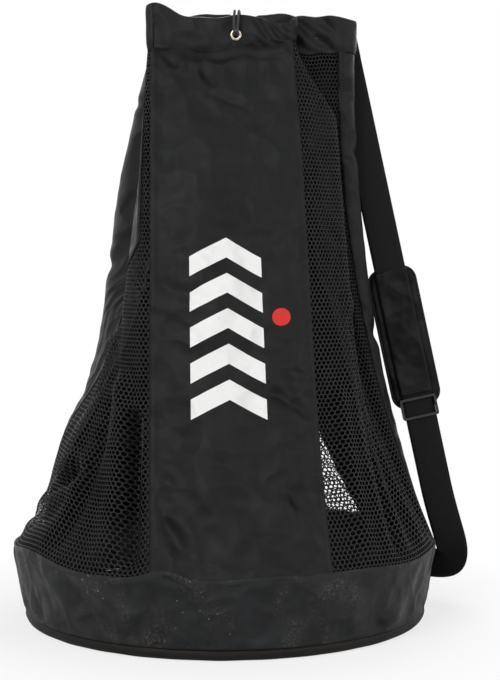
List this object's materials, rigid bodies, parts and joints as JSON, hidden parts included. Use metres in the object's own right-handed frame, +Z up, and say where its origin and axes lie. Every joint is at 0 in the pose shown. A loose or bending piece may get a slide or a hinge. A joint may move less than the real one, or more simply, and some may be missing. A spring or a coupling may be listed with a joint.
{
  "type": "mesh gear bag",
  "caption": "Black drawstring mesh gear bag with a round nylon base, nylon and net wall panels and a padded shoulder strap.",
  "frame": {"origin": "centre of the round floor's underside, where the bag stands", "axes": "+Z up, -Y towards the front panel and its eyelet, +X towards the shoulder strap"},
  "size_m": [0.7217, 0.6584, 0.9421],
  "materials": {
    "base_nylon": "coated nylon, soft sheen, dusty",
    "wall_nylon": "woven nylon, soft sheen",
    "collar_nylon": "woven nylon, double layer",
    "net": "knitted polyester net with oval holes",
    "seam_tape": "flat woven tape",
    "edge_binding": "folded binding tape",
    "eyelet_metal": "nickel plated, worn warm",
    "cord": "braided polyester cord",
    "webbing": "ribbed webbing",
    "buckle_plastic": "moulded, glossy",
    "pad_cloth": "woven nylon over foam",
    "foam": "closed-cell foam"
  },
  "bodies": {
    "bag": {"base_floor": "base_nylon", "base_rolled_edge": "edge_binding", "base_wall": "base_nylon", "base_wall_tape": "seam_tape", "front_panel": "wall_nylon", "front_right_net": "net", "right_panel": "wall_nylon", "rear_net": "net", "left_panel": "wall_nylon", "front_left_net": "net", "seam_tape_front_panel": "seam_tape", "seam_tape_front_right_net": "seam_tape", "seam_tape_right_panel": "seam_tape", "seam_tape_rear_net": "seam_tape", "seam_tape_left_panel": "seam_tape", "seam_tape_front_left_net": "seam_tape", "collar": "collar_nylon", "eyelet": "eyelet_metal", "eyelet_washer": "eyelet_metal", "drawcord": "cord", "drawcord_tail_right": "cord", "drawcord_tail_left": "cord", "cord_knot": "cord", "strap_top_tab": "webbing", "strap_bottom_tab": "webbing"},
    "strap": {"strap_webbing": "webbing"},
    "shoulder_pad": {"shoulder_pad_cover": "pad_cloth", "shoulder_pad_foam": "foam", "shoulder_pad_backing": "pad_cloth", "shoulder_pad_binding": "edge_binding"},
    "slider": {"slider_buckle": "buckle_plastic"}
  },
  "joints": [
    {"name": "strap_swing", "type": "hinge", "parent": "bag", "child": "strap", "pos_m": [0.1553, 0.046, 0.917], "axis": [-0.1772, -0.0836, 0.9806], "range_deg": [0, 70]},
    {"name": "pad_slide", "type": "slide", "parent": "strap", "child": "shoulder_pad", "axis": [-0.2137, 0, 0.9769], "range_m": [0, 0.07]},
    {"name": "slider_slide", "type": "slide", "parent": "strap", "child": "slider", "axis": [0.2137, 0, -0.9769], "range_m": [0, 0.09]}
  ]
}
